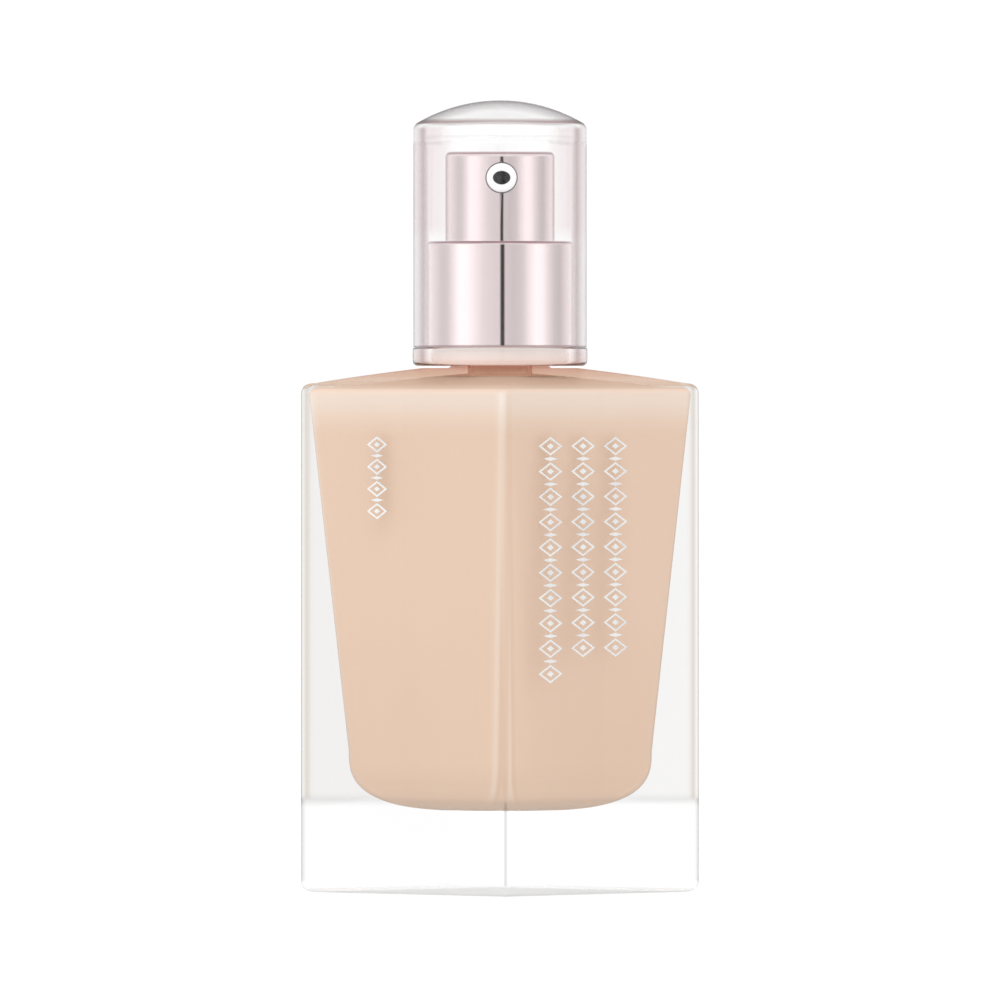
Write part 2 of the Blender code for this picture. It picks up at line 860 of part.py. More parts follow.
def body(name, parent=None):
    """Empty on the Z axis that carries the pieces of one moving body."""
    empty = bpy.data.objects.new(name, None)
    empty.empty_display_size = 5 * MM
    empty.parent = parent
    bpy.context.scene.collection.objects.link(empty)
    return empty


def main():
    clear_scene()

    bottle = body("bottle_body")
    make_glass_bottle(bottle)
    make_foundation_liquid(bottle)

    pump = body("pump_body", bottle)
    make_pump_housing(pump)
    make_neck_gasket(pump)
    make_locking_ring(pump)
    make_stem_wiper(pump)
    make_ball_cage(pump)
    make_dip_tube(pump)
    make_return_spring(pump)
    make_inlet_ball(body("ball_body", pump))

    plunger = body("plunger_body", pump)
    make_stem(plunger)
    make_valve_plug(plunger)
    make_piston(body("piston_body", plunger))

    head = body("head_body", plunger)
    make_actuator_shell(head)
    make_actuator_core(head)
    make_nozzle_insert(head)

    collar = body("collar_body", pump)
    make_screw_closure(collar)
    make_collar_sleeve(collar)
    make_base_ring(collar)
    make_overcap(body("overcap_body", collar))


main()
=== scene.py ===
"""Looks of the foundation bottle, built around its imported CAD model.

Lengths in this script are millimetres, and meshes are scaled to metres as they are
made. The frame's origin is the centre of the bottle's flat base, with +Z up.
"""

import math

import bmesh
import bpy
from mathutils import Matrix, Vector


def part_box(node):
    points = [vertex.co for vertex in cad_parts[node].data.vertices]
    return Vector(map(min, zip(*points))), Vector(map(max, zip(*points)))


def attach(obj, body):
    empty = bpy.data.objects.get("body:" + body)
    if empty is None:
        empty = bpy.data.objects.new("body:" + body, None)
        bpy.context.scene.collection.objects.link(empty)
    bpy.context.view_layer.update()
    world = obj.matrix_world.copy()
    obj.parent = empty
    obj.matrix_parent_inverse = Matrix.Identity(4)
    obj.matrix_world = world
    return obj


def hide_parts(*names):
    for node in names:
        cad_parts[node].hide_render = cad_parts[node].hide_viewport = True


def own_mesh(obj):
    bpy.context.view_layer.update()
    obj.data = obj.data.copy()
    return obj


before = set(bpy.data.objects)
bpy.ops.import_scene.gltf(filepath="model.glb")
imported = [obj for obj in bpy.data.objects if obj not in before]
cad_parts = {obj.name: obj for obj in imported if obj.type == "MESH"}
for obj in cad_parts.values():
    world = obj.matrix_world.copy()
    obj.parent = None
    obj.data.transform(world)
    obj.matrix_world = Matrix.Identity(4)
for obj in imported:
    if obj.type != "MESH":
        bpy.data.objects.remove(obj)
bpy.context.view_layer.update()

MM = 0.001


def node_box(node):
    """Lowest and highest corner of a CAD node, in millimetres."""
    low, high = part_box(node)
    return low / MM, high / MM


GLASS_HIGH = node_box("glass_bottle")[1]
CAP_HIGH = node_box("overcap")[1]
RING_LOW, RING_HIGH = node_box("base_ring")
SLEEVE_LOW, SLEEVE_HIGH = node_box("collar_sleeve")
SHELL_LOW, SHELL_HIGH = node_box("actuator_shell")

# Glass bottle
BOTTLE_HALF = GLASS_HIGH.x
EDGE_RADIUS = 0.8
EDGE_SPREAD = 2 * (BOTTLE_HALF - EDGE_RADIUS) + EDGE_RADIUS * math.sqrt(2)  # |x| + |y| there
BASE_FILLET = 1.5
SHOULDER_FILLET = 1.4
SHOULDER_EDGE_Z = 67.9
SHOULDER_TOP_Z = 69.9
SHOULDER_TOP_RADIUS = 10.4
NECK_RADIUS = 6.5
NECK_TOP_Z = GLASS_HIGH.z
NECK_BORE = 4.3
THREAD_Z = 72.2
THREAD_PITCH = 3.0
THREAD_TURNS = 1.25
THREAD_CREST = 7.4
# The grey above this level is painted shade, and a grey line at it is a painted reflection of
# the cavity's floor.
WALL_FOOT_Z = 12.2  # the glass is clear below this level and faintly grey above it

# Cavity and liquid
FLOOR_Z = 11.0
BOWL_HALF = 15.1
BOWL_CORNER = 5.0
BOWL_Z = 18.9
BOWL_SQUARENESS = 2.9  # exponent of the bowl's rounded section
CAVITY_HALF = 18.1
CAVITY_CORNER = 0.9
CAVITY_TOP_Z = 67.0
CAVITY_FILLET = 0.7
CEILING_RISE = 2.2
LIQUID_LEVEL_SHARE = 0.8
WETTING = 0.02  # how far the liquid's skin reaches into the glass, so no air shows

# Metal and clear pieces of the pump
SLEEVE_BORE = 9.2  # the ring's bore too
SLEEVE_RADIUS = SLEEVE_HIGH.x
SLEEVE_LIP = 7.8
SHELL_RADIUS = SHELL_HIGH.x
CAP_RADIUS = CAP_HIGH.x
CAP_BORE = 10.05
CAP_EDGE_Z = 102.3
CAP_CHAMFER = 0.35
CAP_CEILING_Z = 100.9
RING_RADIUS = RING_HIGH.x

# Nozzle
NOZZLE_Z = 95.2
NOZZLE_AZIMUTH = math.radians(-45.0)
NOZZLE_RADIUS = 1.95
NOZZLE_BACK = 4.9
NOZZLE_FRONT = 7.7

# Foil. A column is its centre along the face, its width, its top and its bottom.
FOIL_TOP = 61.2
FOIL_FRONT = [(-4.5, 3.7, FOIL_TOP, 49.4)]
FOIL_SIDE = [
    (-10.4, 4.6, FOIL_TOP, 27.7),
    (-4.1, 4.6, FOIL_TOP, 31.1),
    (2.2, 4.6, FOIL_TOP, 31.1),
]
FOIL_PITCH = 3.3
FOIL_STROKE = 0.25
FOIL_BACK = 0.004
FOIL_FACE = 0.04

# Camera
CAMERA_AZIMUTH = 43.4
CAMERA_DISTANCE = 2600.0
CAMERA_HEIGHT = 66.0
AIM_HEIGHT = 52.3
LENS = 701.5
SENSOR = 36.0

# Fineness of the meshes
RING_POINTS = 16
TURN_STEPS = 144
SHARP_ANGLE = math.radians(32.0)


# --- meshes ------------------------------------------------------------------


def rounded(corners, steps=8):
    """Outline through the corners. A corner's third number is its fillet radius."""
    outline = []
    for place, corner in enumerate(corners):
        here = Vector(corner[:2])
        if len(corner) == 2:
            outline.append(tuple(here))
            continue
        radius = corner[2]
        before = (Vector(corners[place - 1][:2]) - here).normalized()
        after = (Vector(corners[(place + 1) % len(corners)][:2]) - here).normalized()
        half_angle = before.angle(after) / 2
        centre = here + (before + after).normalized() * (radius / math.sin(half_angle))
        reach = radius / math.tan(half_angle)
        start = here + before * reach - centre
        end = here + after * reach - centre
        first = math.atan2(start.y, start.x)
        sweep = math.remainder(math.atan2(end.y, end.x) - first, math.tau)
        for step in range(steps + 1):
            angle = first + sweep * step / steps
            outline.append(
                (centre.x + radius * math.cos(angle), centre.y + radius * math.sin(angle))
            )
    return outline


def square_ring(half, corner, z):
    """Rounded square with its corner arcs drawn from side to side."""
    points = []
    for quarter in range(4):
        turn = Matrix.Rotation(quarter * math.pi / 2, 3, "Z")
        for step in range(RING_POINTS):
            angle = math.pi / 2 * step / (RING_POINTS - 1)
            x = half - corner + corner * math.cos(angle)
            y = half - corner + corner * math.sin(angle)
            points.append(turn @ Vector((x, y, z)))
    return points


def round_ring(radius, z):
    """Circle with as many points as a square ring."""
    count = 4 * RING_POINTS
    points = []
    for step in range(count):
        angle = math.tau * (step + 0.5) / count
        points.append(Vector((radius * math.cos(angle), radius * math.sin(angle), z)))
    return points


def between(ring_a, ring_b, share, rise):
    """Ring part of the way from one to the other, with its own share of the rise."""
    ring = []
    for a, b in zip(ring_a, ring_b):
        point = a.lerp(b, share)
        point.z = a.z + (b.z - a.z) * rise
        ring.append(point)
    return ring


def mesh_from(bm, name):
    """Mesh with the given contents, which are freed."""
    mesh = bpy.data.meshes.new(name)
    bm.to_mesh(mesh)
    bm.free()
    return mesh


def add_object(name, data):
    """Object that is linked to the scene."""
    item = bpy.data.objects.new(name, data)
    bpy.context.scene.collection.objects.link(item)
    return item


def add_piece(name, bm, material):
    """Links a closed mesh as a piece, with normals weighted towards its large faces."""
    bmesh.ops.scale(bm, vec=Vector((MM, MM, MM)), verts=bm.verts)
    bmesh.ops.recalc_face_normals(bm, faces=bm.faces)
    mesh = mesh_from(bm, name)
    mesh.materials.append(material)
    mesh.shade_smooth()
    mesh.set_sharp_from_angle(angle=SHARP_ANGLE)
    piece = add_object(name, mesh)
    weighted = piece.modifiers.new("weighted_normals", "WEIGHTED_NORMAL")
    weighted.keep_sharp = True
    weighted.weight = 100
    return piece


def turned(name, profile, material):
    """Solid of revolution about Z. A profile that starts and ends on the axis is open
    there, and any other is a closed outline."""
    bm = bmesh.new()
    vertices = [bm.verts.new((radius, 0.0, z)) for radius, z in profile]
    edges = [bm.edges.new(pair) for pair in zip(vertices, vertices[1:])]
    on_axis = profile[0][0] == 0.0 and profile[-1][0] == 0.0
    if not on_axis:
        edges.append(bm.edges.new((vertices[-1], vertices[0])))
    bmesh.ops.spin(
        bm,
        geom=vertices + edges,
        axis=(0.0, 0.0, 1.0),
        cent=(0.0, 0.0, 0.0),
        angle=math.tau,
        steps=TURN_STEPS,
        use_merge=True,
    )
    bmesh.ops.remove_doubles(bm, verts=bm.verts, dist=0.0001)
    return add_piece(name, bm, material)


def skin(bm, rings, closed=False):
    """Skin over rings of equal point count, with a face on each end or joined round."""
    loops = [[bm.verts.new(point) for point in ring] for ring in rings]
    following = loops[1:] + loops[:1] if closed else loops[1:]
    for lower, upper in zip(loops, following):
        for place, corner in enumerate(lower):
            beside = (place + 1) % len(lower)
            bm.faces.new((corner, lower[beside], upper[beside], upper[place]))
    if not closed:
        bm.faces.new(loops[0])
        bm.faces.new(loops[-1])


def fillet_rings(half, corner, z, radius, upward, steps=8):
    """Rings over the rounded edge between an upright side and a level face at z."""
    rings = []
    for step in range(steps + 1):
        angle = math.pi / 2 * step / steps
        pulled_in = radius * (1.0 - math.cos(angle))
        risen = radius * (1.0 - math.sin(angle))
        level = z - risen if upward else z + risen
        rings.append(
            square_ring(half - pulled_in, max(corner - pulled_in, corner * 0.3), level)
        )
    return rings if upward else rings[::-1]


def pillow(share):
    """Rise of a slightly domed slope, as a share of its whole rise."""
    return share + 0.04 * math.sin(math.pi * share)


def shoulder_rings():
    """Pillowed shoulder from the square's top edge to the flat ring round the neck."""
    steps = 16
    edge = fillet_rings(
        BOTTLE_HALF, EDGE_RADIUS, SHOULDER_EDGE_Z, SHOULDER_FILLET, upward=True
    )[-1]
    top = round_ring(SHOULDER_TOP_RADIUS, SHOULDER_TOP_Z)
    return [
        between(edge, top, step / steps, pillow(step / steps))
        for step in range(1, steps + 1)
    ]


def bowl_rings(half, corner, floor):
    """Rings up the rounded bowl at the cavity's foot, from its floor to its brim."""
    steps = 20
    power = 2.0 / BOWL_SQUARENESS
    lowest = math.radians(80.0)
    rings = []
    for step in range(steps + 1):
        angle = lowest * (1.0 - step / steps)
        scale = math.cos(angle) ** power
        fall = (math.sin(angle) / math.sin(lowest)) ** power
        rings.append(
            square_ring(half * scale, corner * scale, BOWL_Z - (BOWL_Z - floor) * fall)
        )
    return rings


def cavity_rings(inset=0.0, level_share=1.0):
    """Wall of the cavity, from its floor up its tapering sides and over its ceiling.

    level_share is how far in over the ceiling it goes.
    """
    steps = 14
    rings = bowl_rings(BOWL_HALF - inset, BOWL_CORNER - inset / 2, FLOOR_Z + inset)
    side_top = fillet_rings(
        CAVITY_HALF - inset,
        CAVITY_CORNER - inset / 2,
        CAVITY_TOP_Z - inset,
        CAVITY_FILLET - inset / 2,
        upward=True,
        steps=10,
    )
    rings += side_top
    rim = round_ring(NECK_BORE, CAVITY_TOP_Z + CEILING_RISE - inset)
    for step in range(1, steps + 1):
        share = level_share * step / steps
        rings.append(between(side_top[-1], rim, share, pillow(share)))
    return rings


# --- shader helpers ----------------------------------------------------------


WHITE = (1.0, 1.0, 1.0)
SOFTENING = 0.85  # share of plain see-through where a clear material is softened


def grey(value):
    return (value, value, value)


def arithmetic(tree, operation, *operands, clamp=False):
    """Result of one arithmetic node. An operand is a socket or a number."""
    node = tree.nodes.new("ShaderNodeMath")
    node.operation = operation
    node.use_clamp = clamp
    for socket, value in zip(node.inputs, operands):
        if isinstance(value, (int, float)):
            socket.default_value = value
        else:
            tree.links.new(value, socket)
    return node.outputs["Value"]


def share_between(tree, source, low, high):
    """0 to 1 as the source goes from low to high."""
    node = tree.nodes.new("ShaderNodeMapRange")
    node.inputs["From Min"].default_value = low
    node.inputs["From Max"].default_value = high
    tree.links.new(source, node.inputs["Value"])
    return node.outputs["Result"]


def color_ramp(tree, source, stops):
    """Colour by a 0 to 1 value, through stops of a position and a colour."""
    node = tree.nodes.new("ShaderNodeValToRGB")
    elements = node.color_ramp.elements
    while len(elements) < len(stops):
        elements.new(0.5)
    for element, (position, color) in zip(elements, stops):
        element.position = position
        element.color = (*color, 1.0)
    tree.links.new(source, node.inputs["Fac"])
    return node.outputs["Color"]


class Shader:
    """A material's node tree with short calls for adding and linking nodes."""

    def __init__(self, name):
        self.material = bpy.data.materials.new(name)
        self.material.use_nodes = True
        self.tree = self.material.node_tree
        self.tree.nodes.clear()
        self.output = self.add("ShaderNodeOutputMaterial")
        self.surface = self.add("ShaderNodeBsdfPrincipled")
        self.show(self.surface.outputs["BSDF"])
        self.place = self.add("ShaderNodeTexCoord").outputs["Object"]

    def add(self, kind, **settings):
        node = self.tree.nodes.new(kind)
        for key, value in settings.items():
            setattr(node, key, value)
        return node

    def link(self, source, target):
        self.tree.links.new(source, target)

    def show(self, closure):
        """Makes a closure the surface that is seen."""
        self.shown = closure
        self.link(closure, self.output.inputs["Surface"])

    def set(self, **values):
        """Constant values on the Principled node, by socket name with _ for a space."""
        for key, value in values.items():
            self.surface.inputs[key.replace("_", " ")].default_value = value

    def drive(self, **sources):
        """Sockets that feed the Principled node, named as in set."""
        for key, source in sources.items():
            self.link(source, self.surface.inputs[key.replace("_", " ")])

    def noise(self, scale, detail=3.0, stretch=(1.0, 1.0, 1.0)):
        """Noise in object space; scale is in features per metre."""
        mapping = self.add("ShaderNodeMapping")
        mapping.inputs["Scale"].default_value = stretch
        self.link(self.place, mapping.inputs["Vector"])
        texture = self.add("ShaderNodeTexNoise")
        texture.inputs["Scale"].default_value = scale
        texture.inputs["Detail"].default_value = detail
        self.link(mapping.outputs["Vector"], texture.inputs["Vector"])
        return texture.outputs["Fac"]

    def spread(self, source, low, high):
        """Maps a 0 to 1 value to a range."""
        node = self.add("ShaderNodeMapRange")
        node.inputs["To Min"].default_value = low
        node.inputs["To Max"].default_value = high
        self.link(source, node.inputs["Value"])
        return node.outputs["Result"]

    def ramp(self, source, stops):
        return color_ramp(self.tree, source, stops)

    def arithmetic(self, operation, *operands):
        return arithmetic(self.tree, operation, *operands)

    def bump(self, height, strength, distance):
        node = self.add("ShaderNodeBump")
        node.inputs["Strength"].default_value = strength
        node.inputs["Distance"].default_value = distance * MM
        self.link(height, node.inputs["Height"])
        self.drive(Normal=node.outputs["Normal"])

    def axes(self):
        """The x, y and z of object space, as three sockets."""
        split = self.add("ShaderNodeSeparateXYZ")
        self.link(self.place, split.inputs["Vector"])
        return tuple(split.outputs)

    def length_share(self, length, low, high):
        """A length socket, as 0 to 1 between two lengths."""
        return share_between(self.tree, length, low * MM, high * MM)

    def height(self, low, high):
        """Height above the base, as 0 to 1 between two levels."""
        return self.length_share(self.axes()[2], low, high)

    def reach(self, low, high):
        """Distance from the upright axis, as 0 to 1 between two radii."""
        flat = self.add("ShaderNodeVectorMath", operation="MULTIPLY")
        flat.inputs[1].default_value = (1.0, 1.0, 0.0)
        self.link(self.place, flat.inputs[0])
        length = self.add("ShaderNodeVectorMath", operation="LENGTH")
        self.link(flat.outputs["Vector"], length.inputs[0])
        return self.length_share(length.outputs["Value"], low, high)

    def from_axis(self, operation, low, high):
        """|y| and |x| put together by an operation, as 0 to 1 between two lengths."""
        x, y, _ = self.axes()
        x = self.arithmetic("ABSOLUTE", x)
        y = self.arithmetic("ABSOLUTE", y)
        return self.length_share(self.arithmetic(operation, y, x), low, high)

    def edge(self, reach, inset=0.0):
        """1 on the bottle's upright edges and 0 from reach millimetres inward.

        The inset moves both ends of the fade inward.
        """
        outer = EDGE_SPREAD - inset
        return self.from_axis("ADD", outer - reach, outer)

    def across_edge(self, reach):
        """0 to 1 across each upright edge, over reach millimetres to either side."""
        return self.from_axis("SUBTRACT", -reach, reach)

    def beside_nozzle(self):
        """1 in the two quarters to the left and right of the nozzle's direction."""
        x, y, _ = self.axes()
        return self.arithmetic("GREATER_THAN", self.arithmetic("MULTIPLY", x, y), 0.0)

    def tinted(self, first, second):
        """Product of two colours."""
        node = self.add("ShaderNodeMix", data_type="RGBA", blend_type="MULTIPLY")
        node.inputs[0].default_value = 1.0
        self.link(first, node.inputs[6])
        self.link(second, node.inputs[7])
        return node.outputs[2]

    def mixed(self, share, first, second):
        """Mix of two colours, each a socket or a constant, by a share."""
        node = self.add("ShaderNodeMix", data_type="RGBA")
        self.link(share, node.inputs[0])
        for place, value in ((6, first), (7, second)):
            if isinstance(value, tuple):
                node.inputs[place].default_value = (*value, 1.0)
            else:
                self.link(value, node.inputs[place])
        return node.outputs[2]

    def blend_clear(self, share, color=None):
        """Mixes plain see-through into the surface by a share."""
        clear = self.add("ShaderNodeBsdfTransparent")
        if color is not None:
            self.link(color, clear.inputs["Color"])
        mix = self.add("ShaderNodeMixShader")
        self.link(share, mix.inputs["Fac"])
        self.link(self.shown, mix.inputs[1])
        self.link(clear.outputs["BSDF"], mix.inputs[2])
        self.show(mix.outputs["Shader"])

    def soften(self, level, color, surfaces=2):
        """Blends towards plain see-through, so reflections and refraction are weaker.

        level is 0 to 1 and says where, and color is a socket with a painted tint of light and
        shade, used as the tint that light keeps when it has crossed that many surfaces.
        """
        lighter = self.add("ShaderNodeGamma")
        lighter.inputs["Gamma"].default_value = 1.0 / surfaces
        self.link(color, lighter.inputs["Color"])
        share = self.arithmetic("MULTIPLY", level, SOFTENING)
        self.blend_clear(share, lighter.outputs["Color"])

    def grazing(self, stops):
        """Colour by how steeply the surface is seen: 0 is face on and 1 is edge on."""
        weight = self.add("ShaderNodeLayerWeight")
        weight.inputs["Blend"].default_value = 0.5
        return self.ramp(weight.outputs["Facing"], stops)

    def let_lamps_through(self):
        """Lets shadow rays and diffuse rays pass straight, so what is inside is lit."""
        path = self.add("ShaderNodeLightPath")
        shadow = path.outputs["Is Shadow Ray"]
        self.blend_clear(self.arithmetic("MAXIMUM", shadow, path.outputs["Is Diffuse Ray"]))


# --- materials ---------------------------------------------------------------


def glass_edges(shader, above_base):
    """Painted tones beside the upright edges, standing in for what refraction at the rounded
    edges shows.

    The edges to the left and right of the nozzle's direction have a tan band of painted shade,
    and a grey bar of painted shade in the clear base. The other two have a fine line of
    painted shade in the base.
    The bar and the line only tint light on its way in.
    """
    # Painted shade: the tan band, the grey bar and the fine line stand in for refraction at
    # the edges.
    band = [
        (0.0, WHITE),
        (0.32, (0.95, 0.94, 0.92)),
        (0.47, (0.80, 0.74, 0.67)),
        (0.60, (0.84, 0.79, 0.72)),
        (0.76, WHITE),
    ]
    bar = [(0.15, WHITE), (0.45, grey(0.88)), (0.75, grey(0.66)), (1.0, grey(0.62))]
    line = [(0.2, WHITE), (0.8, grey(0.60))]
    beside_nozzle = shader.beside_nozzle()
    band = shader.mixed(beside_nozzle, WHITE, shader.ramp(shader.edge(2.6, inset=0.03), band))
    bar = shader.mixed(above_base, shader.ramp(shader.edge(1.1, inset=0.03), bar), WHITE)
    line = shader.mixed(above_base, shader.ramp(shader.edge(0.07), line), grey(0.98))
    entering = shader.mixed(beside_nozzle, line, bar)
    leaving = shader.add("ShaderNodeNewGeometry").outputs["Backfacing"]
    return shader.tinted(
        shader.mixed(above_base, WHITE, band),
        shader.mixed(leaving, entering, WHITE),
    )


def bottle_glass():
    """Clear glass with painted light and shade. Its sides are painted faintly grey, with a
    painted grey line at their foot for the cavity floor's reflection, its base is clear, its
    shoulder is painted with the liquid's colour and a red-brown painted shadow under the ring,
    and every surface seen edge on is painted darker."""
    shader = Shader("bottle_glass")
    shader.set(Transmission_Weight=1.0, IOR=1.16, Roughness=0.0)
    # Painted: a grey line at the wall's foot stands in for the cavity floor's reflection, and
    # the faint grey above it is painted shade.
    wall = [(0.150, WHITE), (0.159, grey(0.80)), (0.170, grey(0.905))]
    # Painted shade where the glass is seen edge on.
    outline = [(0.36, WHITE), (0.48, grey(0.78)), (0.65, grey(0.52)), (1.0, grey(0.30))]
    tint = shader.ramp(shader.height(0.0, NECK_TOP_Z), wall)
    tint = shader.tinted(tint, shader.grazing(outline))
    above_base = shader.height(WALL_FOOT_Z, WALL_FOOT_Z + 0.6)
    shader.drive(Base_Color=shader.tinted(tint, glass_edges(shader, above_base)))
    shader.bump(shader.noise(60.0, 2.0), 0.03, 0.4)
    # Painted: the liquid's colour on the shoulder, with a red-brown painted shadow just under
    # the base ring.
    warm = [
        (0.0, (0.92, 0.88, 0.84)),
        (0.10, (0.76, 0.58, 0.46)),
        (0.44, (0.70, 0.47, 0.35)),
        (0.64, (0.66, 0.38, 0.28)),
        (0.78, (0.62, 0.28, 0.22)),
        (0.88, (0.92, 0.90, 0.90)),
        (1.0, grey(0.94)),
    ]
    shoulder = CAVITY_TOP_Z + 0.2
    warm = shader.ramp(shader.height(shoulder, shoulder + 4.0), warm)
    shader.soften(shader.height(shoulder, shoulder + 0.5), warm)
    # Painted shade: a dark outline where the base's fillet is seen edge on.
    faint_outline = shader.grazing([(0.55, WHITE), (1.0, grey(0.66))])
    shader.soften(shader.height(BASE_FILLET + 0.2, BASE_FILLET - 0.3), faint_outline)
    shader.let_lamps_through()
    return shader.material


def cream():
    """Thick foundation with painted light and shade: a painted light band under the shoulder
    and a lighter painted top, painted shade towards its floor and at its outline, and a
    painted highlight beside a painted shade line along its upright edges.
    """
    shader = Shader("foundation_cream")
    shader.set(Roughness=0.42, IOR=1.38, Specular_IOR_Level=0.15)
    cloud = shader.noise(45.0, 4.0, (1.0, 1.0, 0.5))
    tone = shader.ramp(cloud, [(0.3, (0.770, 0.570, 0.440)), (0.7, (0.795, 0.595, 0.463))])
    # Painted shade darkens the liquid towards its floor; painted light makes a band under the
    # shoulder and lightens its top, seen through the shoulder.
    levels = [
        (0.0, (0.76, 0.74, 0.71)),
        (0.014, (0.89, 0.88, 0.86)),
        (0.05, (0.955, 0.945, 0.93)),
        (0.25, (0.98, 0.97, 0.96)),
        (0.48, WHITE),
        (0.86, WHITE),
        (0.895, (1.03, 1.08, 1.12)),
        (0.930, (1.08, 1.19, 1.30)),
        (0.952, (1.10, 1.22, 1.34)),
        (0.962, (1.08, 1.09, 1.10)),
        (0.972, (1.22, 1.32, 1.42)),
    ]
    tone = shader.tinted(
        tone, shader.ramp(shader.height(FLOOR_Z, CAVITY_TOP_Z + CEILING_RISE), levels)
    )
    # Painted highlight, with a painted shade line beside it, along each upright edge.
    line = [
        (0.22, WHITE),
        (0.33, (0.955, 0.945, 0.935)),
        (0.43, (0.955, 0.945, 0.935)),
        (0.52, (1.03, 1.08, 1.12)),
        (0.60, (1.05, 1.13, 1.20)),
        (0.70, (1.05, 1.13, 1.20)),
        (0.80, (1.02, 1.05, 1.07)),
        (1.0, WHITE),
    ]
    on_sides = shader.arithmetic(
        "MULTIPLY",
        shader.height(FLOOR_Z + 0.5, FLOOR_Z + 3.0),
        shader.height(CAVITY_TOP_Z - 0.1, CAVITY_TOP_Z - 0.7),
    )
    line = shader.mixed(on_sides, WHITE, shader.ramp(shader.across_edge(2.0), line))
    tone = shader.tinted(tone, line)
    # Painted shade where the liquid is seen edge on.
    tone = shader.tinted(tone, shader.grazing([(0.6, WHITE), (1.0, (0.72, 0.70, 0.68))]))
    shader.drive(Base_Color=tone)
    shader.bump(shader.noise(700.0, 3.0), 0.08, 0.05)
    return shader.material


def tinted_clear(name, foot_low, foot_high, foot):
    """Clear plastic that is pinker where it is seen edge on, and so through more of it, with
    painted shade: dark lines where its wall is seen edge on, a dark outline round its dome and
    a dark line along the dome's edge.

    foot is the colour stops between two heights, where it meets the piece below.
    """
    shader = Shader(name)
    shader.set(Transmission_Weight=1.0, IOR=1.47, Roughness=0.0)
    # Painted shade: dark lines where the wall is seen edge on, over the pinker tint of the
    # longer path.
    wall = [
        (0.0, WHITE),
        (0.41, (0.97, 0.96, 0.96)),
        (0.47, (0.66, 0.54, 0.53)),
        (0.53, (0.31, 0.23, 0.24)),
        (0.58, (0.36, 0.28, 0.29)),
        (0.65, (0.56, 0.48, 0.49)),
        (0.74, (0.70, 0.63, 0.64)),
        (1.0, (0.64, 0.58, 0.59)),
    ]
    blush = [
        (0.14, WHITE),
        (0.24, (0.92, 0.84, 0.845)),
        (0.40, (0.82, 0.68, 0.69)),
        (0.46, WHITE),
    ]
    above_collar = shader.height(SLEEVE_HIGH.z, SLEEVE_HIGH.z + 2.0)
    blush = shader.mixed(above_collar, WHITE, shader.grazing(blush))
    outside = shader.reach(CAP_BORE + 0.35, CAP_BORE + 0.55)
    side = shader.mixed(outside, WHITE, shader.tinted(shader.grazing(wall), blush))
    # Painted shade: a dark outline round the dome where it is seen edge on.
    crown = [
        (0.64, WHITE),
        (0.71, (0.62, 0.60, 0.60)),
        (0.78, (0.38, 0.36, 0.37)),
        (0.87, (0.15, 0.13, 0.14)),
        (1.0, (0.08, 0.07, 0.07)),
    ]
    # Painted shade: a dark line along the dome's edge, where it is seen at a slant.
    crease = [
        (0.10, WHITE),
        (0.24, (0.16, 0.09, 0.09)),
        (0.42, (0.20, 0.12, 0.12)),
        (0.66, (0.38, 0.32, 0.30)),
        (0.88, WHITE),
    ]
    crease = shader.ramp(shader.height(CAP_EDGE_Z, CAP_EDGE_Z + 1.0), crease)
    slanted = shader.grazing([(0.32, grey(0.0)), (0.42, WHITE)])
    top = shader.tinted(shader.grazing(crown), shader.mixed(slanted, WHITE, crease))
    depth = shader.mixed(shader.height(CAP_EDGE_Z - 0.5, CAP_EDGE_Z), side, top)
    cloud = shader.noise(80.0, 2.0)
    tone = shader.ramp(cloud, [(0.3, (0.992, 0.988, 0.989)), (0.7, (0.997, 0.993, 0.994))])
    tone = shader.tinted(tone, depth)
    tone = shader.tinted(tone, shader.ramp(shader.height(foot_low, foot_high), foot))
    shader.drive(Base_Color=tone)
    shader.bump(shader.noise(90.0, 2.0), 0.03, 0.3)
    above_bore = shader.height(CAP_CEILING_Z - 1.3, CAP_CEILING_Z - 0.7)
    shader.soften(above_bore, depth, surfaces=4)
    shader.let_lamps_through()
    return shader.material


def pink_metal(name, shade, radius, top, outline):
    """Polished metal with painted shade: darker where it is seen edge on and on its rolled
    rim.

    shade dims the whole colour as painted shade, radius and top place the rim, and outline is
    the stops by grazing angle.
    """
    shader = Shader(name)
    shader.set(Metallic=1.0)
    cloud = shader.noise(120.0, 3.0)
    dark = (0.86 * shade, 0.745 * shade, 0.755 * shade)
    light = (0.875 * shade, 0.760 * shade, 0.770 * shade)
    tone = shader.ramp(cloud, [(0.3, dark), (0.7, light)])
    # Painted shade on the rolled rim.
    rim = shader.mixed(shader.height(top - 0.45, top - 0.2), WHITE, (0.36, 0.24, 0.27))
    rolled = shader.reach(radius - 0.35, radius - 0.25)
    tone = shader.tinted(tone, shader.mixed(rolled, WHITE, rim))
    # Painted shade where the metal is seen edge on.
    tone = shader.tinted(tone, shader.grazing(outline))
    grain = shader.noise(900.0, 3.0, (1.0, 1.0, 0.12))
    shader.drive(Base_Color=tone, Roughness=shader.spread(grain, 0.03, 0.06))
    shader.bump(grain, 0.02, 0.01)
    return shader.material


def painted_shade_mouth():
    """Inside of the nozzle, painted near black as painted shade, since light hardly enters it.
    """
    shader = Shader("painted_shade_mouth")
    shader.set(Roughness=0.9, Specular_IOR_Level=0.05)
    grain = shader.noise(1500.0, 2.0)
    # Near black: painted shade inside the nozzle.
    shader.drive(Base_Color=shader.ramp(grain, [(0.3, grey(0.002)), (0.7, grey(0.006))]))
    return shader.material


